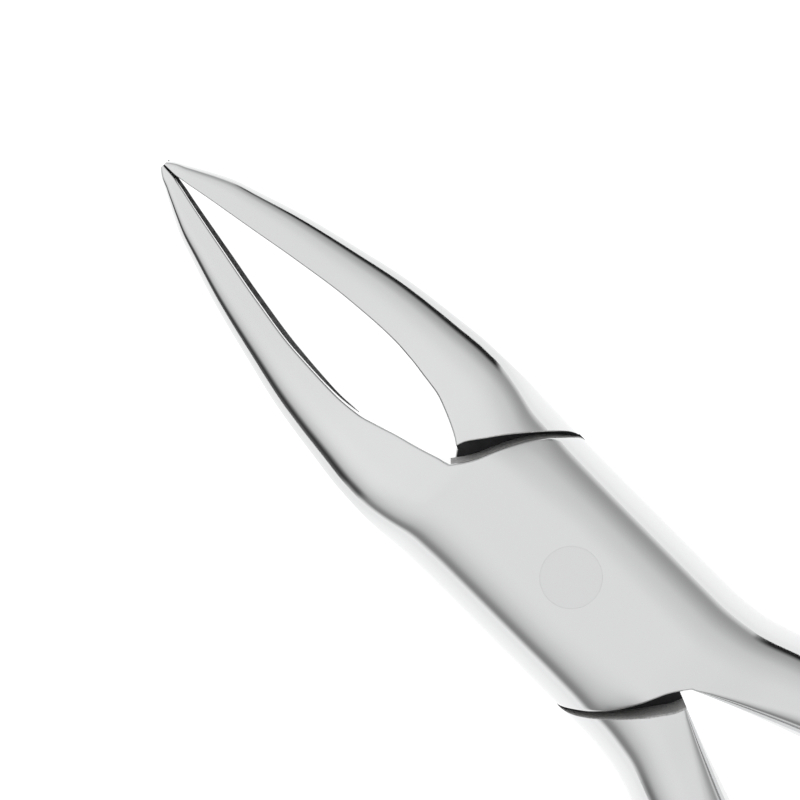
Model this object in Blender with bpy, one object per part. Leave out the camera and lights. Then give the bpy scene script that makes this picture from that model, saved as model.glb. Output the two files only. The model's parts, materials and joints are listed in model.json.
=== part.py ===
"""Extraction forceps: two crossed steel halves joined by one flush rivet.

Both halves are the same forging, one turned over about the long axis. Each has a
beak, a half-thickness joint plate and a handle. X runs from the beak tips to the
handle ends, Z is the hinge axis, and z = 0 is the surface the forceps lie on.
"""

import math

import bmesh
import bpy
from mathutils import Matrix, Vector

MM = 0.001

# Ends of the instrument, measured from the hinge axis.
TIP_X = -41.5
END_X = 134.2
HALF_THICK = 5.2
PIVOT = (-0.5 * (TIP_X + END_X), 0.0, HALF_THICK)

# Lap joint: where the beak's inner side turns into the plate, the play between the
# two plates and the rounding of their edges.
CROTCH_X = 11.9
LAP_GAP = 0.10
EDGE = 0.25

# Plan of the joint on the beak side; the handle side is the same, turned by half a
# turn. PLATE_FRONT is a plate's front edge as (x, y). SHOULDER_WALL is the wall it
# closes against on the other half, as (y, x). It draws closer to the hinge axis
# towards the flank, so the plate never meets it on the way open.
PLATE_FRONT = (
    (-11.9, -0.45), (-11.7, -0.18), (-11.33, 0.32), (-10.84, 1.12), (-10.46, 2.00),
    (-10.1, 2.85), (-9.6, 3.85), (-9.19, 4.55), (-8.73, 5.20), (-8.07, 5.95),
    (-7.4, 6.55), (-6.8, 7.05), (-6.3, 7.38), (-5.9, 7.50),
)
SHOULDER_WALL = (
    (0.5, -12.60), (1.0, -12.42), (1.4, -12.27), (2.6, -11.45), (3.8, -10.60),
    (5.4, -9.22), (6.4, -8.22), (7.15, -7.30), (7.42, -6.72), (7.6, -6.20),
    (9.0, -4.20),
)
# Lean of the beak's inner face, then of the plate's front edge, along X.
DRAFT = (
    (-41.5, 0.05), (-34.0, 0.063), (-27.0, 0.045), (-23.0, 0.01), (-19.0, -0.015),
    (-17.0, -0.06), (-16.0, -0.08), (-14.8, -0.065), (-13.0, -0.033), (-11.9, 0.01),
    (-10.0, 0.0),
)
DRAFT_REACH = 2.0
WALL_POINTS = 18

# Rivet with a head formed into each plate and ground flush.
RIVET_SHANK = 1.85
RIVET_HEAD = 2.25
RIVET_HEAD_DEPTH = 0.9
RIVET_CLEARANCE = 0.04
RIVET_INSET = 0.03
RIVET_SIDES = 64

# Grip: crossed grooves, one step of the pattern along the handle and its depth.
GRIP_START = 46.0
GRIP_END = 122.0
GRIP_STEP = 2.0
GRIP_DEPTH = 0.3

# Hollow inner face of the beak.
HOLLOW_END_X = -18.6
HOLLOW_DEPTH = 0.65

TOP_STEPS = 10
WALL_STEPS = 4

# Curves along X, as (x, value) in millimetres.
BEAK_INNER = (
    (-41.5, 0.05), (-40.9, 0.06), (-40.3, 0.10), (-39.9, 0.18), (-39.1, 0.32),
    (-38.4, 0.47), (-37.0, 0.74), (-34.1, 1.27), (-29.7, 2.06), (-25.4, 2.66),
    (-21.0, 2.88), (-19.0, 2.73), (-17.5, 2.42), (-16.0, 2.06), (-14.8, 1.68),
    (-13.65, 1.25), (-13.0, 0.97), (-12.5, 0.72), (-11.9, 0.45),
)
OUTLINE = (
    (-41.5, 0.40), (-41.3, 0.55), (-40.9, 0.82), (-40.3, 1.13), (-39.9, 1.36),
    (-39.1, 1.80), (-38.4, 2.18), (-37.0, 2.85), (-35.5, 3.36), (-31.9, 4.52),
    (-27.5, 5.64), (-23.2, 6.62), (-18.8, 7.25), (-15.9, 7.57), (-12.3, 7.68),
    (-9.4, 7.58), (-6.5, 7.50), (0.0, 7.50), (9.0, 7.50), (12.2, 7.80),
    (16.0, 8.95), (24.0, 11.30), (36.0, 14.60), (52.0, 18.00), (72.0, 20.20),
    (95.0, 20.40), (116.0, 18.80), (128.0, 17.60), (132.0, 17.00), (133.6, 16.40),
    (134.2, 15.40),
)
HANDLE_INNER = (
    (11.9, 0.45), (12.9, 0.85), (16.0, 2.00), (24.0, 4.60), (36.0, 8.00),
    (52.0, 11.00), (72.0, 12.60), (95.0, 12.50), (116.0, 10.90), (128.0, 9.90),
    (132.0, 10.00), (133.6, 10.80), (134.2, 12.00),
)
HALF_DEPTH = (
    (-41.5, 1.40), (-40.9, 1.52), (-39.9, 1.65), (-37.0, 1.85), (-34.0, 2.05),
    (-26.8, 2.55), (-21.0, 3.25), (-15.9, 4.20), (-12.5, 4.85), (-10.5, 5.14),
    (-9.0, 5.20), (9.0, 5.20), (12.2, 5.05), (16.0, 4.70), (24.0, 4.35),
    (36.0, 4.40), (52.0, 4.80), (72.0, 5.15), (84.0, 5.20), (100.0, 5.20),
    (116.0, 5.05), (128.0, 4.60), (132.0, 3.90), (133.6, 3.00), (134.2, 2.20),
)
CROWN_WIDTH = (
    (-41.5, 0.35), (-39.9, 0.8), (-34.0, 1.8), (-25.0, 2.6), (-17.4, 3.5),
    (-12.3, 4.6), (-9.0, 5.2), (9.0, 5.2), (14.0, 4.6), (24.0, 3.8),
    (132.0, 3.8), (134.2, 1.8),
)
CROWN_POWER = (
    (-41.5, 4.0), (-34.0, 4.0), (-17.4, 4.0), (-12.3, 2.8), (-6.0, 2.2),
    (14.0, 2.2), (24.0, 2.3), (134.2, 2.3),
)
INNER_ROUND = (
    (-41.5, 0.10), (-39.9, 0.15), (-21.0, EDGE), (11.9, EDGE), (13.2, 0.50),
    (24.0, 2.60), (132.0, 2.80), (134.2, 1.50),
)
INNER_DROP = (
    (-41.5, 0.10), (-39.9, 0.15), (-21.0, EDGE), (11.9, EDGE), (13.2, 0.55),
    (24.0, 2.80), (132.0, 2.40), (134.2, 1.20),
)
HOLLOW_HALF = (
    (-41.3, 0.90), (-39.5, 1.20), (-37.0, 1.32), (-34.0, 1.42), (-30.0, 1.60),
    (-27.0, 1.78), (-23.0, 1.85), (-20.5, 1.30), (-18.6, 0.01),
)


def span_slope(points, i):
    """Slope of the straight line from one knot to the next."""
    return (points[i + 1][1] - points[i][1]) / (points[i + 1][0] - points[i][0])


def knot_slope(points, i):
    """Slope of the curve at a knot, level where the values turn."""
    before = span_slope(points, max(i - 1, 0))
    after = span_slope(points, min(i, len(points) - 2))
    if before * after <= 0.0:
        return 0.0
    return 2.0 * before * after / (before + after)


def curve(points, x):
    """Smooth curve through the points that never overshoots them."""
    if x <= points[0][0]:
        return points[0][1]
    if x >= points[-1][0]:
        return points[-1][1]
    i = 0
    while points[i + 1][0] < x:
        i += 1
    x0, y0 = points[i]
    x1, y1 = points[i + 1]
    step = x1 - x0
    t = (x - x0) / step
    leave = knot_slope(points, i) * step
    arrive = knot_slope(points, i + 1) * step
    bend = t * (1 - t) * (leave * (1 - t) - arrive * t)
    return y0 * (1 + 2 * t) * (1 - t) ** 2 + y1 * t * t * (3 - 2 * t) + bend


def inner_side(x):
    """The side of a half that faces the other half, in plan."""
    if x < -CROTCH_X:
        return -curve(BEAK_INNER, x)
    if x < 0.0:
        return curve(PLATE_FRONT, x)
    if x < CROTCH_X:
        return -curve(PLATE_FRONT, -x)
    return curve(HANDLE_INNER, x)


def sides(x):
    """Lower and upper bound in y of the half whose beak lies at negative y."""
    if x < 0.0:
        return -curve(OUTLINE, x), inner_side(x)
    return inner_side(x), curve(OUTLINE, x)


def crown(distance, x):
    """Share of the full thickness at this distance from the outer flank."""
    t = 1.0 - distance / curve(CROWN_WIDTH, x)
    if t <= 0.0:
        return 1.0
    power = curve(CROWN_POWER, x)
    return max(1.0 - min(t, 1.0) ** power, 0.0) ** (1.0 / power)


def flank_inset(z, x):
    """How far the outer flank has curved in at the height z."""
    power = curve(CROWN_POWER, x)
    share = min(abs(z) / curve(HALF_DEPTH, x), 1.0)
    return curve(CROWN_WIDTH, x) * (1.0 - (1.0 - share**power) ** (1.0 / power))


def edge_drop(distance, x):
    """Rounding of the top face where it meets an inner wall."""
    t = 1.0 - distance / curve(INNER_ROUND, x)
    if t <= 0.0:
        return 0.0
    return curve(INNER_DROP, x) * (1.0 - math.sqrt(1.0 - min(t, 1.0) ** 2))


def height(x, y):
    """Half thickness at a point of the plan."""
    out = curve(OUTLINE, x)
    z = curve(HALF_DEPTH, x) * crown(out + y, x) * crown(out - y, x)
    wall = inner_side(x)
    if out - abs(wall) < 0.3:
        return z
    slope = (inner_side(x + 0.02) - inner_side(x - 0.02)) / 0.04
    return z - edge_drop(abs(y - wall) / math.sqrt(1.0 + slope**2), x)


def hollow(x, z):
    """Depth of the spoon-shaped hollow in the beak's inner face."""
    if x > HOLLOW_END_X or x < TIP_X + 0.2:
        return 0.0
    half = curve(HOLLOW_HALF, x)
    if abs(z) >= half:
        return 0.0
    return HOLLOW_DEPTH * min(half / 1.6, 1.0) * (1.0 - (z / half) ** 2)


def wall_points(x, bound, sign, top):
    """Points down one side wall, without its two ends."""
    out = curve(OUTLINE, x)
    points = []
    for i in range(1, WALL_STEPS):
        z = top * (1.0 - 2.0 * i / WALL_STEPS)
        y = min(sign * bound, out - flank_inset(z, x))
        if x < 0.0 and sign > 0:
            y -= hollow(x, z)
        points.append((sign * y, z))
    return points


def lean(x, y, z):
    """A point of a section, moved with the draft of the inner face beside it."""
    if x > PLATE_FRONT[-1][0]:
        return y, z
    edge = inner_side(x)
    share = min(max((y - edge) / DRAFT_REACH + 1.0, 0.0), 1.0)
    return y - curve(DRAFT, x) * z * share, z


def ring(x, row):
    """One closed cross section, as (y, z) points."""
    low, high = sides(x)
    least = 0.25 * curve(HALF_DEPTH, x)
    out = curve(OUTLINE, x)
    low_top = max(height(x, low), least)
    high_top = max(height(x, high), least)
    start = max(low, flank_inset(low_top, x) - out)
    end = min(high, out - flank_inset(high_top, x))
    top = []
    for i in range(TOP_STEPS + 1):
        y = start + (end - start) * 0.5 * (1.0 - math.cos(math.pi * i / TOP_STEPS))
        z = height(x, y)
        if i == 0:
            z = low_top
        if i == TOP_STEPS:
            z = high_top
        if grooved(x, i, row):
            z -= GRIP_DEPTH
            y -= GRIP_DEPTH * 0.5 * (1.0 if i > TOP_STEPS / 2 else 0.0)
        top.append((y, z))
    bottom = [(y, -z) for y, z in reversed(top)]
    right = wall_points(x, high, 1, high_top)
    left = [(y, -z) for y, z in wall_points(x, low, -1, low_top)]
    return [lean(x, y, z) for y, z in top + right + bottom + left]


def grooved(x, i, row):
    """True at every second point of the grip, which makes a diamond pattern."""
    if x < GRIP_START or x > GRIP_END:
        return False
    return 2 < i < TOP_STEPS and (i + row) % 2 == 0


def stations():
    """Places along X where a cross section is made."""
    beak = [
        -41.5, -41.2, -40.7, -39.9, -38.6, -37.0, -34.8, -32.0, -29.0, -26.0,
        -23.5, -21.5, -20.0, -18.6, -17.0, -15.4, -14.2, -13.2, -12.5,
    ]
    joint = [
        -11.9, -11.8, -11.7, -11.5, -11.33, -11.1, -10.84, -10.65, -10.46, -10.28,
        -10.1, -9.85, -9.6, -9.4, -9.19, -8.96, -8.73, -8.4, -8.07, -7.7, -7.4,
        -7.1, -6.8, -6.55, -6.3, -6.1, -5.9, -5.5, -3.2,
    ]
    handle = [12.9, 14.6, 17.0, 20.0, 24.0, 29.0, 35.0, 40.0, 44.0]
    grip = []
    x = GRIP_START
    while x <= GRIP_END:
        grip.append(x)
        x += GRIP_STEP
    end = [124.0, 128.0, 131.0, 132.6, 133.6, 134.2]
    rear = [-x for x in reversed(joint)]
    return beak + joint + rear + handle + grip + end


def steel():
    """Polished stainless steel."""
    material = bpy.data.materials.new("polished_stainless_steel")
    material.use_nodes = True
    shader = material.node_tree.nodes["Principled BSDF"]
    shader.inputs["Base Color"].default_value = (0.72, 0.73, 0.74, 1.0)
    shader.inputs["Metallic"].default_value = 1.0
    shader.inputs["Roughness"].default_value = 0.16
    return material


def rivet_steel():
    """The softer steel of the rivet, ground flush."""
    material = bpy.data.materials.new("ground_rivet_steel")
    material.use_nodes = True
    shader = material.node_tree.nodes["Principled BSDF"]
    shader.inputs["Base Color"].default_value = (0.68, 0.69, 0.70, 1.0)
    shader.inputs["Metallic"].default_value = 1.0
    shader.inputs["Roughness"].default_value = 0.22
    return material


def new_object(name, mesh, material):
    """Links a mesh as an object that stands on the hinge axis."""
    body = bpy.data.objects.new(name, mesh)
    bpy.context.scene.collection.objects.link(body)
    body.location = [v * MM for v in PIVOT]
    if material is not None:
        mesh.materials.append(material)
    return body


def close_end(mesh, ring_verts):
    """Closes one end of a half with a fan of triangles."""
    count = len(ring_verts)
    middle = sum((v.co for v in ring_verts), Vector()) / count
    centre = mesh.verts.new(middle)
    for i in range(count):
        mesh.faces.new((centre, ring_verts[i], ring_verts[(i + 1) % count]))


def half_mesh(name, turned):
    """The closed surface of one half before its lap is cut."""
    mesh = bmesh.new()
    rings = []
    for row, x in enumerate(stations()):
        points = ring(x, row)
        rings.append([mesh.verts.new((x * MM, y * MM, z * MM)) for y, z in points])
    count = len(rings[0])
    for a, b in zip(rings, rings[1:]):
        for i in range(count):
            j = (i + 1) % count
            mesh.faces.new((a[i], b[i], b[j], a[j]))
    close_end(mesh, rings[0])
    close_end(mesh, rings[-1])
    if turned:
        bmesh.ops.transform(mesh, matrix=Matrix.Rotation(math.pi, 4, "X"), verts=mesh.verts)
    bmesh.ops.triangulate(mesh, faces=mesh.faces)
    bmesh.ops.recalc_face_normals(mesh, faces=mesh.faces)
    data = bpy.data.meshes.new(name)
    mesh.to_mesh(data)
    mesh.free()
    return data


def lap_outline():
    """Plan of the pocket that takes the other half's plate, cut from below."""
    near, far = SHOULDER_WALL[0][0], SHOULDER_WALL[-1][0]
    front = []
    for i in range(WALL_POINTS + 1):
        y = far + (near - far) * i / WALL_POINTS
        front.append((curve(SHOULDER_WALL, y), -y))
    front.append((front[-1][0], far))
    rear = [(-x, -y) for x, y in front]
    return front + rear


def prism(name, outline, low, high):
    """A vertical prism."""
    mesh = bmesh.new()
    lower = [mesh.verts.new((x * MM, y * MM, low * MM)) for x, y in outline]
    upper = [mesh.verts.new((x * MM, y * MM, high * MM)) for x, y in outline]
    for i in range(len(outline)):
        j = (i + 1) % len(outline)
        mesh.faces.new((lower[i], lower[j], upper[j], upper[i]))
    mesh.faces.new(list(reversed(lower)))
    mesh.faces.new(upper)
    bmesh.ops.recalc_face_normals(mesh, faces=mesh.faces)
    data = bpy.data.meshes.new(name)
    mesh.to_mesh(data)
    mesh.free()
    return data


def turned_body(name, profile):
    """A solid of revolution about Z from (radius, z) points."""
    mesh = bmesh.new()
    rows = []
    for radius, z in profile:
        row = []
        for i in range(RIVET_SIDES):
            angle = 2.0 * math.pi * i / RIVET_SIDES
            spot = (radius * math.cos(angle), radius * math.sin(angle), z)
            row.append(mesh.verts.new([v * MM for v in spot]))
        rows.append(row)
    for a, b in zip(rows, rows[1:]):
        for i in range(RIVET_SIDES):
            j = (i + 1) % RIVET_SIDES
            mesh.faces.new((a[i], a[j], b[j], b[i]))
    mesh.faces.new(list(reversed(rows[0])))
    mesh.faces.new(rows[-1])
    bmesh.ops.recalc_face_normals(mesh, faces=mesh.faces)
    data = bpy.data.meshes.new(name)
    mesh.to_mesh(data)
    mesh.free()
    return data


def rivet_profile(extra, end):
    """Outline of the rivet, or of the hole it sits in when extra is given."""
    neck = HALF_THICK - RIVET_HEAD_DEPTH
    shank = RIVET_SHANK + extra
    head = RIVET_HEAD + extra
    flare = (head - shank) * (end - neck) / RIVET_HEAD_DEPTH
    wide = shank + flare
    return [(wide, -end), (shank, -neck), (shank, neck), (wide, end)]


def cut(body, mesh):
    """Subtracts a hidden cutter from the body."""
    cutter = new_object(mesh.name, mesh, None)
    cutter.display_type = "WIRE"
    cutter.hide_render = True
    modifier = body.modifiers.new(mesh.name, "BOOLEAN")
    modifier.operation = "DIFFERENCE"
    modifier.solver = "EXACT"
    modifier.object = cutter


def build_half(name, turned, material):
    """One half: beak, joint plate and handle in a single forging."""
    body = new_object(name, half_mesh(name, turned), material)
    low, high = -8.0, 0.5 * LAP_GAP
    outline = lap_outline()
    if turned:
        low, high = -high, -low
        outline = [(x, -y) for x, y in outline]
    cut(body, prism(name + "_lap_cutter", outline, low, high))
    bore = rivet_profile(RIVET_CLEARANCE, HALF_THICK + 0.5)
    cut(body, turned_body(name + "_bore_cutter", bore))
    body.data.shade_smooth()
    body.data.set_sharp_from_angle(angle=math.radians(35))
    return body


def build_rivet(material):
    """The rivet that both halves turn on."""
    profile = rivet_profile(0.0, HALF_THICK - RIVET_INSET)
    body = new_object("joint_rivet", turned_body("joint_rivet", profile), material)
    body.data.shade_smooth()
    body.data.set_sharp_from_angle(angle=math.radians(35))
    return body


for old in list(bpy.data.objects):
    bpy.data.objects.remove(old)

steel_material = steel()
build_half("top_half", False, steel_material)
build_half("bottom_half", True, steel_material)
build_rivet(rivet_steel())
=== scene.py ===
"""Extraction forceps on a white table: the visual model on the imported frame.

Both halves are the same forging, one turned over about the long axis. They are
rebuilt here from the part's own curves, finely enough for polished steel. Lengths
are in millimetres from the hinge axis until a mesh is written in metres.
"""

import json
import math

import bmesh
import bpy
import numpy as np
from mathutils import Matrix, Vector


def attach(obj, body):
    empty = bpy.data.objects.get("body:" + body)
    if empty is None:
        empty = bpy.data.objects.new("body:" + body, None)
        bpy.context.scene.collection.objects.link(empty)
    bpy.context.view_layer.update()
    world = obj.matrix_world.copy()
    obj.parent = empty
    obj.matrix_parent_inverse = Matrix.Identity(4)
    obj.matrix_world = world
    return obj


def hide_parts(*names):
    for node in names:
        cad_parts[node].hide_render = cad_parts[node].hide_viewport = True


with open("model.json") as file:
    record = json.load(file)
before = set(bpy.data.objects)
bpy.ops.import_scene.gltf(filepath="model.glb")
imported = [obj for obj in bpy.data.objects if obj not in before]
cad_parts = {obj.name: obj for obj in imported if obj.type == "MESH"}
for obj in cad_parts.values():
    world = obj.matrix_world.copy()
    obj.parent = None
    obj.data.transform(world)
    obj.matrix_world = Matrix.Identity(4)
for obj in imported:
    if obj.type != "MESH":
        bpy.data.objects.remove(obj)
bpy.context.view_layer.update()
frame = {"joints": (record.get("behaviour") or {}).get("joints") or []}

MM = 0.001
HINGE = Vector(frame["joints"][0]["pos_m"])
NUDGE = 0.02  # half the step over which a curve's slope is taken

# ---------------------------------------------------------------- the forging

TIP_X = -41.5
END_X = 134.2
HALF_THICK = 5.2
CROTCH_X = 11.9
LAP_GAP = 0.10
EDGE = 0.16

# Joint in plan, on the beak side: the plate's front edge as (x, y), and the wall it
# closes against on the other half as (y, x).
PLATE_FRONT = (
    (-11.9, -0.45), (-11.7, -0.18), (-11.33, 0.32), (-10.84, 1.12), (-10.46, 2.00),
    (-10.1, 2.85), (-9.6, 3.85), (-9.19, 4.55), (-8.73, 5.20), (-8.07, 5.95),
    (-7.4, 6.55), (-6.8, 7.05), (-6.3, 7.38), (-5.9, 7.50),
)
SHOULDER_WALL = (
    (0.5, -12.60), (1.0, -12.42), (1.4, -12.27), (2.6, -11.45), (3.8, -10.60),
    (5.4, -9.22), (6.4, -8.22), (7.15, -7.30), (7.42, -6.72), (7.6, -6.20),
    (9.0, -4.20),
)
# Bevel along that wall's upper edge, by its place in Y.
SHOULDER_BEVEL = ((0.5, 0.10), (2.6, 0.12), (5.4, 0.22), (7.0, 0.26), (9.0, 0.26))
# Lean of the beak's inner face, then of the plate's front edge, along X.
DRAFT = (
    (-41.5, 0.05), (-34.0, 0.063), (-27.0, 0.045), (-23.0, 0.01), (-19.0, -0.015),
    (-17.0, -0.06), (-16.0, -0.08), (-14.8, -0.065), (-13.0, -0.033), (-11.9, 0.01),
    (-10.0, 0.0),
)
# The draft starts DRAFT_REACH in from the inner face and is full after DRAFT_BLEND.
DRAFT_REACH = 2.0
DRAFT_BLEND = 1.5
# The plate's outer front corner is rolled off: the distance that its front edge counts
# as lying in from the flank, by place in Y.
CORNER_OFFSET = (
    (1.0, 7.0), (2.4, 5.0), (3.2, 3.7), (3.8, 3.0), (4.5, 2.5), (5.0, 2.25), (6.0, 2.05),
    (7.5, 2.0),
)
CORNER_POWER = 4.0
CORNER_NUDGE = 0.05
# The plate's front edge as (y, x), up to where it turns back along the flank.
FRONT_EDGE = tuple((y, x) for x, y in PLATE_FRONT[:12])
PLATE_END = PLATE_FRONT[-1][0]

# Curves along X, as (x, value).
BEAK_INNER = (
    (-41.5, 0.05), (-40.9, 0.06), (-40.3, 0.10), (-39.9, 0.18), (-39.1, 0.32),
    (-38.4, 0.47), (-37.0, 0.74), (-34.1, 1.27), (-29.7, 2.06), (-25.4, 2.66),
    (-21.0, 2.88), (-19.0, 2.73), (-17.5, 2.42), (-16.0, 2.06), (-14.8, 1.68),
    (-13.65, 1.25), (-13.0, 0.97), (-12.5, 0.72), (-11.9, 0.45),
)
OUTLINE = (
    (-41.5, 0.33), (-41.3, 0.53), (-40.9, 0.82), (-40.3, 1.13), (-39.9, 1.36),
    (-39.1, 1.80), (-38.4, 2.18), (-37.0, 2.85), (-35.5, 3.36), (-31.9, 4.52),
    (-27.5, 5.64), (-23.2, 6.62), (-18.8, 7.25), (-15.9, 7.57), (-12.3, 7.68),
    (-9.4, 7.58), (-6.5, 7.50), (0.0, 7.50), (9.0, 7.50), (12.2, 7.80), (16.0, 8.95),
    (24.0, 11.30), (36.0, 14.60), (52.0, 18.00), (72.0, 20.20), (95.0, 20.40),
    (116.0, 18.80), (128.0, 17.60), (132.0, 17.00), (133.6, 16.40), (134.2, 15.40),
)
HANDLE_INNER = (
    (11.9, 0.45), (12.9, 0.85), (16.0, 2.00), (24.0, 4.60), (36.0, 8.00),
    (52.0, 11.00), (72.0, 12.60), (95.0, 12.50), (116.0, 10.90), (128.0, 9.90),
    (132.0, 10.00), (133.6, 10.80), (134.2, 12.00),
)
HALF_DEPTH = (
    (-41.5, 1.40), (-40.9, 1.52), (-39.9, 1.65), (-37.0, 1.85), (-34.0, 2.05),
    (-26.8, 2.55), (-21.0, 3.25), (-15.9, 4.20), (-12.5, 4.85), (-10.5, 5.14),
    (-9.0, 5.20), (9.0, 5.20), (12.2, 5.05), (16.0, 4.70), (24.0, 4.35),
    (36.0, 4.40), (52.0, 4.80), (72.0, 5.15), (84.0, 5.20), (100.0, 5.20),
    (116.0, 5.05), (128.0, 4.60), (132.0, 3.90), (133.6, 3.00), (134.2, 2.20),
)
# Flanks of the joint and the handle are elliptic: width and power of the curve.
CROWN_WIDTH = (
    (-17.0, 4.2), (-12.3, 4.6), (-9.0, 5.2), (9.0, 5.2), (14.0, 4.6), (24.0, 3.8),
    (132.0, 3.8), (134.2, 1.8),
)
CROWN_POWER = (
    (-17.0, 2.4), (-12.3, 2.3), (-6.0, 2.2), (14.0, 2.2), (24.0, 2.3), (134.2, 2.3),
)
# The plate's own flank, which widens a little towards its front corner.
PLATE_WIDTH = (
    (-17.0, 4.2), (-12.5, 5.0), (-9.5, 5.8), (-7.25, 5.8), (-5.07, 5.6), (-2.0, 5.2),
)
PLATE_REACH = 20.0
LEAST_DISTANCE = 1e-3
# The beak's top is domed instead, and meets an upright flank in a small round.
DOME_WIDTH = (
    (-41.5, 0.35), (-40.9, 0.5), (-39.9, 0.8), (-34.0, 1.8), (-25.4, 3.0),
    (-17.4, 3.8), (-9.0, 4.6),
)
DOME_DROP = (
    (-41.5, 0.12), (-40.9, 0.22), (-39.9, 0.38), (-34.0, 0.82), (-25.4, 1.25),
    (-17.4, 1.60), (-9.0, 2.0),
)
DOME_POWER = 3.5
DOME_END = -15.0
DOME_BLEND = 6.0
FLANK_ROUND = 0.3
FLANK_POWER = 8.0
# The round along the inner edge fades out over this distance from the flank.
INNER_FADE = 0.8
INNER_ROUND = (
    (-41.5, 0.08), (-21.0, EDGE), (11.9, EDGE), (13.2, 0.50), (24.0, 2.60),
    (132.0, 2.80), (134.2, 1.50),
)
INNER_DROP = (
    (-41.5, 0.08), (-21.0, EDGE), (11.9, EDGE), (13.2, 0.55), (24.0, 2.80),
    (132.0, 2.40), (134.2, 1.20),
)

# Spoon-shaped hollow in the beak's inner face: its half height along X, the half height
# from which it has its full depth, its most share of the face, and its serration.
HOLLOW_END_X = -18.6
# The hollow's material with painted shade stops 0.3 mm short of the hollow's end.
HOLLOW_PAINTED_SHADE_END_X = HOLLOW_END_X - 0.3
HOLLOW_RUN_OUT = 2.0
HOLLOW_DEPTH = 0.65
HOLLOW_FULL_HALF = 1.6
HOLLOW_MOST = 0.92
HOLLOW_HALF = (
    (-41.5, 1.00), (-39.5, 1.20), (-37.0, 1.32), (-34.0, 1.42), (-30.0, 1.60),
    (-27.0, 1.78), (-23.0, 1.85), (-20.5, 1.30), (-18.6, 0.30),
)
SERRATION_STEP = 0.9
SERRATION_DEPTH = 0.06

# Cross-cut grip: its grooves start GRIP_INSET in from the handle's inner side.
GRIP_START = 46.0
GRIP_END = 122.0
GRIP_STEP = 1.7
GRIP_DEPTH = 0.26
GRIP_GROOVE = 0.42
GRIP_RUN_OUT = 2.0
GRIP_INSET = 1.6
GRIP_FADE = 0.8

# Mesh: points along a section's top and down its walls, and samples to spread them by.
TOP_STEPS = 56
WALL_STEPS = 10
LEAST_WALL = 0.05
SAMPLES = 900
BEND_SHARE = 0.9
BEND_LOW = 4.0 * LEAST_WALL
BEND_FADE = 0.5
SPANS = (
    (TIP_X, -39.9, 0.1), (-39.9, -12.6, 0.25), (-12.6, -5.4, 0.07), (-5.4, 5.4, 0.45),
    (5.4, 12.6, 0.12), (12.6, GRIP_START, 0.5), (GRIP_START, GRIP_END, 0.3),
    (GRIP_END, 131.0, 0.5), (131.0, END_X, 0.1),
)

# Lap cutter: the Y that it reaches, past the flank, its way below the half, and its bevel.
CUTTER_REACH = 8.6
CUTTER_BELOW = 2.0
CUTTER_STEPS = 90
BEVEL_STEPS = 7
BEVEL_FLARE = 1.2
BEVEL_LEAST_Z = 0.6
BEVEL_LAST_Y = 7.4

# Rivet, ground flush in both plates.
RIVET_SHANK = 1.85
RIVET_HEAD = 2.25
RIVET_HEAD_DEPTH = 0.9
RIVET_RIM = 0.25
RIVET_CLEARANCE = 0.004
RIVET_INSET = 0.002
RIVET_BEVEL = 0.004
RIVET_SIDES = 128
BORE_PAST = 0.5

SHARP_ANGLE = 32.0

# Material slots of a half; the near-black colours of HOLLOW and LAP are painted shade.
POLISHED, HOLLOW, WALL, LAP, GRIP = range(5)


def curve(points, x):
    """Smooth curve through the points that never overshoots them."""
    px, py = np.array(points, float).T
    x = np.clip(x, px[0], px[-1])
    span = np.diff(py) / np.diff(px)
    before = np.append(span[0], span)
    after = np.append(span, span[-1])
    both = before * after
    knot = np.where(both > 0, 2 * both / np.where(both > 0, before + after, 1.0), 0.0)
    i = np.clip(np.searchsorted(px, x) - 1, 0, len(px) - 2)
    step = px[i + 1] - px[i]
    t = (x - px[i]) / step
    bend = t * (1 - t) * step * (knot[i] * (1 - t) - knot[i + 1] * t)
    return py[i] * (1 + 2 * t) * (1 - t) ** 2 + py[i + 1] * t * t * (3 - 2 * t) + bend


def smooth(t):
    """0 to 1 with level ends."""
    t = np.clip(t, 0.0, 1.0)
    return t * t * (3 - 2 * t)


def inner_side(x):
    """The side of a half that faces the other half, in plan."""
    if x < -CROTCH_X:
        return -float(curve(BEAK_INNER, x))
    if x < 0.0:
        return float(curve(PLATE_FRONT, x))
    if x < CROTCH_X:
        return -float(curve(PLATE_FRONT, -x))
    return float(curve(HANDLE_INNER, x))


def crown(distance, width, power):
    """Share of the full thickness at this distance from a flank."""
    t = np.clip(1.0 - distance / width, 0.0, 1.0)
    return (1.0 - t**power) ** (1.0 / power)


def round_off(distance, radius):
    """Share of a quarter round at this distance from an edge."""
    t = np.clip(1.0 - distance / radius, 0.0, 1.0)
    return 1.0 - np.sqrt(1.0 - t**2)


def dome(distance, x):
    """Half thickness of the beak at this distance from its flank."""
    share = np.clip(1.0 - distance / float(curve(DOME_WIDTH, x)), 0.0, 1.0)
    drop = float(curve(DOME_DROP, x)) * share**DOME_POWER
    return (float(curve(HALF_DEPTH, x)) - drop) * crown(distance, FLANK_ROUND, FLANK_POWER)


def front_distance(x, y):
    """How far in from the flank a point counts because of the plate's front edge."""
    ahead, behind = curve(FRONT_EDGE, y + CORNER_NUDGE), curve(FRONT_EDGE, y - CORNER_NUDGE)
    slope = (ahead - behind) / (2.0 * CORNER_NUDGE)
    apart = (x - curve(FRONT_EDGE, y)) / np.sqrt(1.0 + slope**2)
    return np.maximum(apart, 0.0) + curve(CORNER_OFFSET, y)


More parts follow.
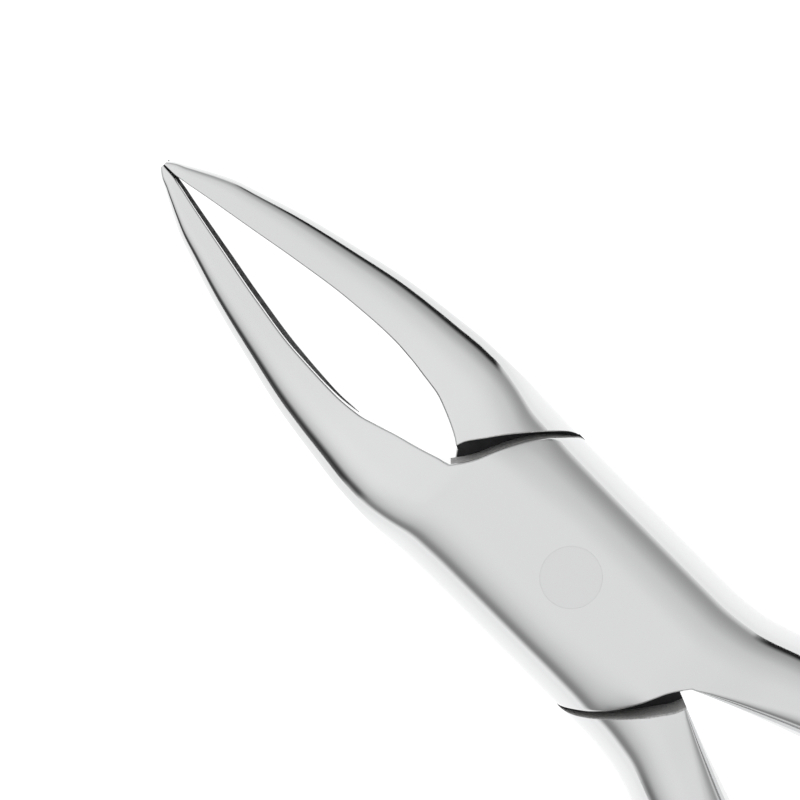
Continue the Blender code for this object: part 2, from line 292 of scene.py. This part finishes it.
def heights(x, y):
    """Half thickness along one section."""
    out = float(curve(OUTLINE, x))
    width = float(curve(CROWN_WIDTH, x))
    power = float(curve(CROWN_POWER, x))
    own, other = (out + y, out - y) if x < 0.0 else (out - y, out + y)
    other = np.maximum(other, LEAST_DISTANCE)
    z = float(curve(HALF_DEPTH, x)) * crown(own, width, power)
    share = float(smooth((x - DOME_END) / DOME_BLEND))
    if share < 1.0:
        z = share * z + (1.0 - share) * dome(own, x)
    if abs(x) < PLATE_REACH:
        if abs(x) < CROTCH_X:
            front = front_distance(-abs(x), math.copysign(1.0, -x) * y)
            both = other**-CORNER_POWER + front**-CORNER_POWER
            other = both ** (-1.0 / CORNER_POWER)
        z = z * crown(other, float(curve(PLATE_WIDTH, -abs(x))), power)
    wall = inner_side(x)
    slope = (inner_side(x + NUDGE) - inner_side(x - NUDGE)) / (2.0 * NUDGE)
    apart = np.abs(y - wall) / math.sqrt(1.0 + slope**2)
    share = float(smooth((out - abs(wall)) / INNER_FADE))
    drop = share * float(curve(INNER_DROP, x))
    return z - drop * round_off(apart, float(curve(INNER_ROUND, x)))


def inner_wall(x, high):
    """Levels and cut depths down the beak's inner face, with its serrated hollow."""
    half = min(float(curve(HOLLOW_HALF, x)), HOLLOW_MOST * high)
    inside = np.linspace(half, -half, WALL_STEPS - 1)
    share = 1.0 - (inside / half) ** 2
    tooth = abs(2.0 * ((x / SERRATION_STEP) % 1.0) - 1.0)
    fade = smooth((HOLLOW_END_X - x) / HOLLOW_RUN_OUT)
    deep = HOLLOW_DEPTH * min(half / HOLLOW_FULL_HALF, 1.0) * fade
    deep = deep - SERRATION_DEPTH * tooth
    return inside, max(deep, 0.0) * share


def groove(x, along):
    """Depth share of the crossed grooves of the grip."""
    ends = smooth((x - GRIP_START) / GRIP_RUN_OUT) * smooth((GRIP_END - x) / GRIP_RUN_OUT)
    if ends <= 0.0:
        return 0.0 * along
    deepest = 0.0 * along
    for sign in (1.0, -1.0):
        part = ((x + sign * along) / GRIP_STEP) % 1.0
        apart = np.abs(part - 0.5) * GRIP_STEP
        deepest = np.maximum(deepest, np.clip(1.0 - apart / GRIP_GROOVE, 0.0, 1.0))
    return ends * deepest


def section(x):
    """Upper outline of one cross section, evenly spread over its length and bend."""
    out = float(curve(OUTLINE, x))
    low, high = -out, inner_side(x)
    if x >= 0.0:
        low, high = high, out
    swing = np.cos(np.linspace(0.0, math.pi, SAMPLES))
    y = 0.5 * (low + high) - 0.5 * (high - low) * swing
    z = np.maximum(heights(x, y), LEAST_WALL)
    step = np.hypot(np.diff(y), np.diff(z))
    turn = np.abs(np.diff(np.unwrap(np.arctan2(np.diff(z), np.diff(y)))))
    bend = np.append(turn, 0.0) + np.append(0.0, turn)
    bend = bend * smooth((z[1:] - BEND_LOW) / BEND_FADE)
    weight = step / step.sum() + BEND_SHARE * bend / bend.sum()
    gone = np.append(0.0, np.cumsum(weight))
    wanted = np.linspace(0.0, gone[-1], TOP_STEPS + 1)
    return np.interp(wanted, gone, y), np.interp(wanted, gone, z)


def grooved(x, y, z):
    """Cuts the grip pattern into one section, along its own normal."""
    if x < GRIP_START or x > GRIP_END:
        return y, z
    dy, dz = np.gradient(y), np.gradient(z)
    size = np.hypot(dy, dz)
    along = np.append(0.0, np.cumsum(np.hypot(np.diff(y), np.diff(z))))
    along = along[-1] - along
    inner = smooth((y - inner_side(x) - GRIP_INSET) / GRIP_FADE)
    depth = GRIP_DEPTH * groove(x, along) * inner
    return y + depth * dz / size, z - depth * dy / size


def ring(x):
    """One closed cross section, as arrays of y and z."""
    y, z = section(x)
    y, z = grooved(x, y, z)
    down = np.arange(1, WALL_STEPS) / WALL_STEPS
    right_z = z[-1] * (1.0 - 2.0 * down)
    left_z = -z[0] * (1.0 - 2.0 * down)
    right_y = np.full(WALL_STEPS - 1, y[-1])
    left_y = np.full(WALL_STEPS - 1, y[0])
    if x < HOLLOW_END_X:
        right_z, depth = inner_wall(x, z[-1])
        right_y = right_y - depth
    ring_y = np.concatenate((y, right_y, y[::-1], left_y))
    ring_z = np.concatenate((z, right_z, -z[::-1], left_z))
    if x < PLATE_END:
        share = smooth((ring_y - inner_side(x) + DRAFT_REACH) / DRAFT_BLEND)
        ring_y = ring_y - float(curve(DRAFT, x)) * share * ring_z
    return ring_y, ring_z


def stations():
    """Places along X where a cross section is made, denser where the shape is fine."""
    places = []
    for start, end, step in SPANS:
        count = max(int(round((end - start) / step)), 1)
        places += [start + (end - start) * i / count for i in range(count)]
    return places + [END_X]


def region(x, i):
    """Material of the face that starts at this x and at this place in the ring."""
    right_start, left_start = TOP_STEPS, 2 * TOP_STEPS + WALL_STEPS
    on_right = right_start <= i < right_start + WALL_STEPS
    on_left = i >= left_start
    # The hollow's faces take the material whose near-black colour is painted shade.
    if x < HOLLOW_PAINTED_SHADE_END_X and right_start < i < right_start + WALL_STEPS - 1:
        return HOLLOW
    if (on_right and -CROTCH_X < x < PLATE_END) or (on_left and -PLATE_END < x < CROTCH_X):
        return WALL
    if GRIP_START < x < GRIP_END:
        return GRIP
    return POLISHED


def fill_slots(data):
    """Gives a mesh the materials of a half."""
    for material in slots:
        data.materials.append(material)


def half_mesh(name):
    """Closed surface of one half before its lap is cut."""
    rows = []
    places = stations()
    for x in places:
        y, z = ring(x)
        rows.append(np.stack((np.full(len(y), x), y, z), 1))
    points = np.array(rows)
    count = points.shape[1]
    verts = [tuple(v) for v in (points.reshape(-1, 3) * MM)]
    faces = []
    marks = []
    for r in range(len(rows) - 1):
        for i in range(count):
            j = (i + 1) % count
            a, b = r * count, (r + 1) * count
            faces.append((a + i, b + i, b + j, a + j))
            marks.append(region(places[r], i))
    for row, flip in ((0, False), (len(rows) - 1, True)):
        centre = len(verts)
        verts.append(tuple(points[row].mean(0) * MM))
        for i in range(count):
            j = (i + 1) % count
            pair = (row * count + i, row * count + j)
            faces.append((centre,) + (pair[::-1] if flip else pair))
            marks.append(POLISHED)
    data = bpy.data.meshes.new(name)
    data.from_pydata(verts, [], faces)
    fill_slots(data)
    data.polygons.foreach_set("material_index", np.array(marks, np.int32))
    clean = bmesh.new()
    clean.from_mesh(data)
    bmesh.ops.triangulate(clean, faces=clean.faces)
    bmesh.ops.recalc_face_normals(clean, faces=clean.faces)
    clean.to_mesh(data)
    clean.free()
    return data


def loft(name, columns, side=0, floor=0):
    """A closed solid from equal vertical columns of points that go once round."""
    mesh = bmesh.new()
    rows = [[mesh.verts.new([c * MM for c in point]) for point in col] for col in columns]
    height = len(rows[0])
    for a, b in zip(rows, rows[1:] + rows[:1]):
        for i in range(height - 1):
            mesh.faces.new((a[i], b[i], b[i + 1], a[i + 1]))
    for face in mesh.faces:
        face.material_index = side
    mesh.faces.new([col[0] for col in reversed(rows)]).material_index = floor
    mesh.faces.new([col[-1] for col in rows])
    bmesh.ops.triangulate(mesh, faces=mesh.faces)
    bmesh.ops.recalc_face_normals(mesh, faces=mesh.faces)
    data = bpy.data.meshes.new(name)
    mesh.to_mesh(data)
    mesh.free()
    fill_slots(data)
    return data


def lap_cutter():
    """The room for the other half's plate, with a flared mouth that rounds the edge."""
    top = 0.5 * LAP_GAP
    bottom = -(HALF_THICK + CUTTER_BELOW)
    arc = np.linspace(0.0, 0.5 * math.pi, BEVEL_STEPS)
    front = []
    for y in np.linspace(CUTTER_REACH, SHOULDER_WALL[0][0], CUTTER_STEPS):
        x = float(curve(SHOULDER_WALL, y))
        rise = float(curve(SHOULDER_WALL, y + NUDGE) - curve(SHOULDER_WALL, y - NUDGE))
        slope = rise / (2.0 * NUDGE)
        size = math.sqrt(1.0 + slope**2)
        out = (-1.0 / size, -slope / size)
        surface = float(heights(x, np.array([-min(y, BEVEL_LAST_Y)]))[0])
        surface = max(surface, BEVEL_LEAST_Z)
        bevel = float(curve(SHOULDER_BEVEL, y))
        column = [(x, -y, top)]
        for angle in arc:
            shift = bevel * (1.0 - math.cos(angle))
            level = -(surface - bevel * (1.0 - math.sin(angle)))
            column.append((x + out[0] * shift, -y + out[1] * shift, level))
        flare = bevel * BEVEL_FLARE
        column.append((x + out[0] * flare, -y + out[1] * flare, bottom))
        front.append(column)
    front.append([(p[0], CUTTER_REACH, p[2]) for p in front[-1]])
    rear = [[(-p[0], -p[1], p[2]) for p in column] for column in front]
    return loft("lap_cutter", front + rear, WALL, LAP)


def turned(name, profile):
    """A solid of revolution about Z from (radius, z) points."""
    columns = []
    for i in range(RIVET_SIDES):
        angle = 2.0 * math.pi * i / RIVET_SIDES
        columns.append([(r * math.cos(angle), r * math.sin(angle), z) for r, z in profile])
    return loft(name, columns)


def rivet_profile(extra, end, bevel):
    """Outline of the rivet, or of its bore when extra is given."""
    neck = HALF_THICK - RIVET_HEAD_DEPTH
    shank, head = RIVET_SHANK + extra, RIVET_HEAD + extra
    half = [
        (shank, neck), (head, HALF_THICK - RIVET_RIM), (head, end - bevel), (head - bevel, end),
    ]
    return [(r, -z) for r, z in reversed(half)] + half


def placed(name, data):
    """Links a mesh as an object that stands on the hinge axis."""
    body = bpy.data.objects.new(name, data)
    bpy.context.scene.collection.objects.link(body)
    body.location = HINGE
    return body


def minus(body, cutters):
    """The body with the cutters taken away, as plain mesh."""
    for cutter in cutters:
        modifier = body.modifiers.new("cut", "BOOLEAN")
        modifier.operation = "DIFFERENCE"
        modifier.solver = "EXACT"
        modifier.object = cutter
    shape = body.evaluated_get(bpy.context.evaluated_depsgraph_get())
    data = bpy.data.meshes.new_from_object(shape)
    clean = bmesh.new()
    clean.from_mesh(data)
    bmesh.ops.triangulate(clean, faces=[f for f in clean.faces if len(f.verts) > 4])
    clean.to_mesh(data)
    clean.free()
    return data


# ---------------------------------------------------------------- materials

# Most of a noise texture's values lie between these.
NOISE_LOW = 0.3
NOISE_HIGH = 0.7


def node(tree, kind, values=None, **settings):
    """A shader node with its settings and socket values."""
    made = tree.nodes.new(kind)
    for key, value in settings.items():
        setattr(made, key, value)
    for key, value in (values or {}).items():
        made.inputs[key].default_value = value
    return made


def metal(name, colour, rough, metallic=1.0):
    """A Principled material and its tree, shader and object coordinates."""
    material = bpy.data.materials.new(name)
    material.use_nodes = True
    tree = material.node_tree
    shader = tree.nodes["Principled BSDF"]
    shader.inputs["Base Color"].default_value = (*colour, 1.0)
    shader.inputs["Metallic"].default_value = metallic
    shader.inputs["Roughness"].default_value = rough
    place = node(tree, "ShaderNodeTexCoord")
    return material, tree, shader, place


def noise(tree, place, scale, stretch=(1.0, 1.0, 1.0), detail=3.0):
    """A noise texture in object space, squeezed along the axes by the stretch."""
    mapping = node(tree, "ShaderNodeMapping", {"Scale": stretch})
    tree.links.new(place.outputs["Object"], mapping.inputs["Vector"])
    made = node(tree, "ShaderNodeTexNoise", {"Scale": scale, "Detail": detail})
    tree.links.new(mapping.outputs["Vector"], made.inputs["Vector"])
    return made.outputs["Fac"]


def spread(tree, source, low, high):
    """Remaps a noise texture's usual values to a range."""
    made = node(tree, "ShaderNodeMapRange", {
        "From Min": NOISE_LOW, "From Max": NOISE_HIGH, "To Min": low, "To Max": high,
    })
    tree.links.new(source, made.inputs["Value"])
    return made.outputs["Result"]


def bump(tree, shader, layers):
    """Chains bump layers of (height socket, strength, distance in mm) into a shader."""
    normal = None
    for source, strength, distance in layers:
        made = node(tree, "ShaderNodeBump", {"Strength": strength, "Distance": distance * MM})
        tree.links.new(source, made.inputs["Height"])
        if normal is not None:
            tree.links.new(normal, made.inputs["Normal"])
        normal = made.outputs["Normal"]
    tree.links.new(normal, shader.inputs["Normal"])


def polished_steel():
    """Mirror-polished stainless steel with fine lines left by the polishing wheel."""
    material, tree, shader, place = metal("polished_steel", (0.735, 0.738, 0.742), 0.1)
    lines = noise(tree, place, scale=420.0, stretch=(1.0, 14.0, 14.0), detail=4.0)
    waves = noise(tree, place, scale=160.0, stretch=(1.0, 2.0, 2.0), detail=1.0)
    tree.links.new(spread(tree, lines, low=0.055, high=0.10), shader.inputs["Roughness"])
    bump(tree, shader, ((waves, 0.35, 0.012), (lines, 0.25, 0.0012)))
    return material


def hollow_steel_with_painted_shade():
    """The beak's serrated inner face, rough from blasting; its near-black colour is painted
    shade.
    """
    # Painted shade: the near-black base colour stands in for the shade in the beak's hollow;
    # the roughness and bump from blasting are real.
    material, tree, shader, place = metal("blasted_hollow_painted_shade", (0.06, 0.06, 0.062), 0.5)
    grain = noise(tree, place, scale=5200.0, detail=2.0)
    tree.links.new(spread(tree, grain, low=0.4, high=0.7), shader.inputs["Roughness"])
    bump(tree, shader, ((grain, 0.9, 0.05),))
    return material


def wall_steel():
    """Cut faces beside the lap, left as milled."""
    material, tree, shader, place = metal("milled_wall", (0.62, 0.62, 0.62), 0.6, 0.35)
    grain = noise(tree, place, scale=6500.0, detail=2.0)
    tree.links.new(spread(tree, grain, low=0.5, high=0.8), shader.inputs["Roughness"])
    tint = node(tree, "ShaderNodeMix", data_type="RGBA")
    tint.inputs[6].default_value = (0.45, 0.45, 0.45, 1.0)
    tint.inputs[7].default_value = (0.78, 0.78, 0.77, 1.0)
    tree.links.new(spread(tree, grain, low=0.0, high=1.0), tint.inputs[0])
    tree.links.new(tint.outputs[2], shader.inputs["Base Color"])
    bump(tree, shader, ((grain, 0.8, 0.05),))
    return material


def lap_steel_with_painted_shade():
    """The sliding faces of the lap, with ground marks; their near-black colour is painted
    shade.
    """
    # Painted shade: the near-black base colour stands in for the shade at the bottom of the
    # joint's gap; the ground marks in the roughness and bump are real.
    material, tree, shader, place = metal("lap_face_painted_shade", (0.05, 0.05, 0.052), 0.45)
    marks = noise(tree, place, scale=900.0, stretch=(1.0, 9.0, 1.0))
    tree.links.new(spread(tree, marks, low=0.35, high=0.6), shader.inputs["Roughness"])
    bump(tree, shader, ((marks, 0.4, 0.01),))
    return material


def grip_steel():
    """The grip's cross-cut steel, a little duller than the rest."""
    material, tree, shader, place = metal("cross_cut_grip", (0.68, 0.685, 0.69), 0.2)
    lines = noise(tree, place, scale=900.0, stretch=(1.0, 6.0, 6.0))
    tree.links.new(spread(tree, lines, low=0.16, high=0.3), shader.inputs["Roughness"])
    bump(tree, shader, ((lines, 0.35, 0.004),))
    return material


def rivet_steel():
    """The rivet's end, ground flush with the joint face and polished."""
    material, tree, shader, place = metal("ground_rivet", (0.72, 0.722, 0.728), 0.13)
    lines = noise(tree, place, scale=700.0, stretch=(6.0, 6.0, 1.0))
    tree.links.new(spread(tree, lines, low=0.11, high=0.17), shader.inputs["Roughness"])
    bump(tree, shader, ((lines, 0.25, 0.0015),))
    return material


# ---------------------------------------------------------------- pieces


def finish_mesh(body):
    """Smooth shading that breaks at real edges."""
    body.data.shade_smooth()
    body.data.set_sharp_from_angle(angle=math.radians(SHARP_ANGLE))
    body.data.update()


def build_half(name, flip, base):
    """One finished half, turned over about the long axis where asked."""
    data = base.copy()
    data.name = name
    if flip:
        data.transform(Matrix.Rotation(math.pi, 4, "X"))
    body = placed(name, data)
    finish_mesh(body)
    return body


slots = [polished_steel(), hollow_steel_with_painted_shade(), wall_steel(), lap_steel_with_painted_shade(), grip_steel()]
base = placed("forging", half_mesh("forging"))
bore = rivet_profile(RIVET_CLEARANCE, HALF_THICK + BORE_PAST, 0.0)
cutters = [
    placed("lap_cutter", lap_cutter()),
    placed("bore_cutter", turned("bore_cutter", bore[1:-1])),
]
forging = minus(base, cutters)
for spent in [base] + cutters:
    bpy.data.objects.remove(spent)

upper = build_half("upper_forging", False, forging)
lower = build_half("lower_forging", True, forging)
rivet_outline = rivet_profile(0.0, HALF_THICK - RIVET_INSET, RIVET_BEVEL)
rivet = placed("rivet_end", turned("rivet_end", rivet_outline))
rivet.data.materials.clear()
rivet.data.materials.append(rivet_steel())
finish_mesh(rivet)

for piece, cad_node, body, slot in (
    (upper, "top_half", "top_half_body", "polished_steel"),
    (lower, "bottom_half", "bottom_half_body", "polished_steel"),
    (rivet, "joint_rivet", "top_half_body", "ground_rivet"),
):
    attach(piece, body)
    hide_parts(cad_node)

# ---------------------------------------------------------------- table, light, camera

# The table's glow falls off to both sides of the instrument, from GLOW_NEAR to GLOW_FAR.
TABLE_SIZE = 6.0
TABLE_DROP = 0.0002
TABLE_GLOW = 0.97
TABLE_EDGE_GLOW = 0.84
GLOW_NEAR = 0.010
GLOW_FAR = 0.045


def paper():
    """The table's white surface, which glows so that it stays without shadows."""
    material, tree, shader, place = metal("white_table", (0.3, 0.3, 0.3), 0.9, 0.0)
    axes = node(tree, "ShaderNodeSeparateXYZ")
    tree.links.new(place.outputs["Object"], axes.inputs["Vector"])
    side = node(tree, "ShaderNodeMath", operation="ABSOLUTE")
    tree.links.new(axes.outputs["Y"], side.inputs[0])
    glow = node(tree, "ShaderNodeMapRange", {
        "From Min": GLOW_NEAR, "From Max": GLOW_FAR,
        "To Min": TABLE_GLOW, "To Max": TABLE_EDGE_GLOW,
    })
    tree.links.new(side.outputs[0], glow.inputs["Value"])
    tree.links.new(glow.outputs["Result"], shader.inputs["Emission Color"])
    shader.inputs["Emission Strength"].default_value = 1.0
    return material


def table():
    """A large flat sheet just below the instrument."""
    reach = 0.5 * TABLE_SIZE
    corners = [(-reach, -reach), (reach, -reach), (reach, reach), (-reach, reach)]
    data = bpy.data.meshes.new("table")
    data.from_pydata([(x, y, 0.0) for x, y in corners], [], [(0, 1, 2, 3)])
    data.materials.append(paper())
    sheet = bpy.data.objects.new("table", data)
    bpy.context.scene.collection.objects.link(sheet)
    sheet.location = (0.0, 0.0, -TABLE_DROP)
    return sheet


table_top = table()

# Brightness of the room by height of the direction (its Z), beyond -Y and beyond +Y.
LOWER_SIDE = (
    (0.0, 1.0), (0.05, 0.90), (0.12, 0.52), (0.19, 0.26), (0.34, 0.32), (0.48, 0.59),
    (0.61, 0.71), (0.72, 0.79), (0.80, 0.86), (0.87, 0.90), (0.92, 0.92), (0.97, 0.945),
    (1.0, 0.96),
)
UPPER_SIDE = (
    (0.0, 0.88), (0.05, 0.83), (0.15, 0.50), (0.23, 0.39), (0.40, 0.45), (0.55, 0.55),
    (0.675, 0.65), (0.77, 0.75), (0.85, 0.78), (0.91, 0.81), (0.953, 0.85), (0.98, 0.88),
    (1.0, 0.93),
)
SIDE_BLEND = 0.25  # the two sides blend between these places of the direction's Y
# The room is a little brighter beyond -X, where the beaks point.
FRONT_GAIN = 1.11
FRONT_START = -0.12
FRONT_FULL = -0.36
# Dark stands low in the room: azimuth from +Y towards +X, half width, share and
# the height of the direction up to which they reach.
DARK_STANDS = ((-12.5, 13.0, 0.98, 0.34), (-160.0, 17.0, 0.85, 0.52))
STAND_CORE = 0.4  # share of a stand's width and height that is fully dark
STAND_COLOUR = 0.004
BACKDROP = 0.93


def by_height(tree, axes, stops):
    """Brightness of the room by the height of the direction."""
    made = node(tree, "ShaderNodeValToRGB")
    made.color_ramp.interpolation = "B_SPLINE"
    elements = made.color_ramp.elements
    while len(elements) < len(stops):
        elements.new(0.5)
    for element, (spot, value) in zip(elements, stops):
        element.position = spot
        element.color = (value, value, value, 1.0)
    tree.links.new(axes.outputs["Z"], made.inputs["Fac"])
    return made.outputs["Color"]


def walls(tree, axes):
    """The room's two sides, blended and brightened towards the front."""
    share = node(tree, "ShaderNodeMapRange", {
        "From Min": -SIDE_BLEND, "From Max": SIDE_BLEND,
    }, interpolation_type="SMOOTHSTEP")
    tree.links.new(axes.outputs["Y"], share.inputs["Value"])
    mix = node(tree, "ShaderNodeMix", data_type="RGBA")
    tree.links.new(share.outputs["Result"], mix.inputs[0])
    tree.links.new(by_height(tree, axes, LOWER_SIDE), mix.inputs[6])
    tree.links.new(by_height(tree, axes, UPPER_SIDE), mix.inputs[7])
    front = node(tree, "ShaderNodeMapRange", {
        "From Min": FRONT_START, "From Max": FRONT_FULL, "To Min": 1.0, "To Max": FRONT_GAIN,
    })
    tree.links.new(axes.outputs["X"], front.inputs["Value"])
    gain = node(tree, "ShaderNodeVectorMath", operation="SCALE")
    tree.links.new(mix.outputs[2], gain.inputs[0])
    tree.links.new(front.outputs["Result"], gain.inputs["Scale"])
    return gain.outputs[0]


def dark_stand(tree, axes, azimuth, colour, stand):
    """Darkens the room where one of the stands is."""
    centre, half, dark, top = stand
    offset = node(tree, "ShaderNodeMath", {1: math.radians(centre)}, operation="SUBTRACT")
    tree.links.new(azimuth.outputs[0], offset.inputs[0])
    apart = node(tree, "ShaderNodeMath", operation="ABSOLUTE")
    tree.links.new(offset.outputs[0], apart.inputs[0])
    across = node(tree, "ShaderNodeMapRange", {
        "From Min": math.radians(half), "From Max": math.radians(STAND_CORE * half),
        "To Min": 0.0, "To Max": dark,
    }, interpolation_type="SMOOTHSTEP")
    tree.links.new(apart.outputs[0], across.inputs["Value"])
    high = node(tree, "ShaderNodeMapRange", {
        "From Min": top, "From Max": STAND_CORE * top, "To Min": 0.0, "To Max": 1.0,
    }, interpolation_type="SMOOTHSTEP")
    tree.links.new(axes.outputs["Z"], high.inputs["Value"])
    both = node(tree, "ShaderNodeMath", operation="MULTIPLY")
    tree.links.new(across.outputs["Result"], both.inputs[0])
    tree.links.new(high.outputs["Result"], both.inputs[1])
    shade = node(tree, "ShaderNodeMix", data_type="RGBA")
    shade.inputs[7].default_value = (STAND_COLOUR, STAND_COLOUR, STAND_COLOUR, 1.0)
    tree.links.new(both.outputs[0], shade.inputs[0])
    tree.links.new(colour, shade.inputs[6])
    return shade.outputs[2]


def studio():
    """A bright ceiling that falls off to darker walls with two dark stands."""
    world = bpy.data.worlds.new("studio")
    bpy.context.scene.world = world
    world.use_nodes = True
    tree = world.node_tree
    tree.nodes.clear()
    place = node(tree, "ShaderNodeTexCoord")
    axes = node(tree, "ShaderNodeSeparateXYZ")
    tree.links.new(place.outputs["Generated"], axes.inputs["Vector"])
    azimuth = node(tree, "ShaderNodeMath", operation="ARCTAN2")
    tree.links.new(axes.outputs["X"], azimuth.inputs[0])
    tree.links.new(axes.outputs["Y"], azimuth.inputs[1])
    colour = walls(tree, axes)
    for stand in DARK_STANDS:
        colour = dark_stand(tree, axes, azimuth, colour, stand)
    light = node(tree, "ShaderNodeBackground")
    tree.links.new(colour, light.inputs["Color"])
    plain = node(tree, "ShaderNodeBackground", {"Color": (BACKDROP, BACKDROP, BACKDROP, 1.0)})
    path = node(tree, "ShaderNodeLightPath")
    shown = node(tree, "ShaderNodeMixShader")
    tree.links.new(path.outputs["Is Camera Ray"], shown.inputs[0])
    tree.links.new(light.outputs[0], shown.inputs[1])
    tree.links.new(plain.outputs[0], shown.inputs[2])
    result = node(tree, "ShaderNodeOutputWorld")
    tree.links.new(shown.outputs[0], result.inputs["Surface"])


studio()
bpy.context.scene.view_settings.view_transform = "Standard"

# The camera looks almost straight down, with a field that takes in the beaks and joint.
LENS = 220.0
SENSOR = 36.0
FIELD = 57.97
CLIP_END = 20.0
TILT_Y = math.radians(3.0)
TILT_X = math.radians(-3.0)
ROLL = math.radians(45.25)
AIM = (-17.4, 0.0, 0.0)

camera_data = bpy.data.cameras.new("camera")
camera_data.lens = LENS
camera_data.sensor_width = SENSOR
camera_data.clip_end = CLIP_END
camera = bpy.data.objects.new("camera", camera_data)
bpy.context.scene.collection.objects.link(camera)
back = Vector((math.tan(TILT_X), math.tan(TILT_Y), 1.0)).normalized()
right = Vector((math.cos(ROLL), math.sin(ROLL), 0.0))
right = (right - back * right.dot(back)).normalized()
up = back.cross(right)
turn = Matrix((right, up, back)).transposed().to_4x4()
target = HINGE + Vector(AIM) * MM
away = back * (LENS / SENSOR * FIELD * MM)
camera.matrix_world = Matrix.Translation(target + away) @ turn
bpy.context.scene.camera = camera
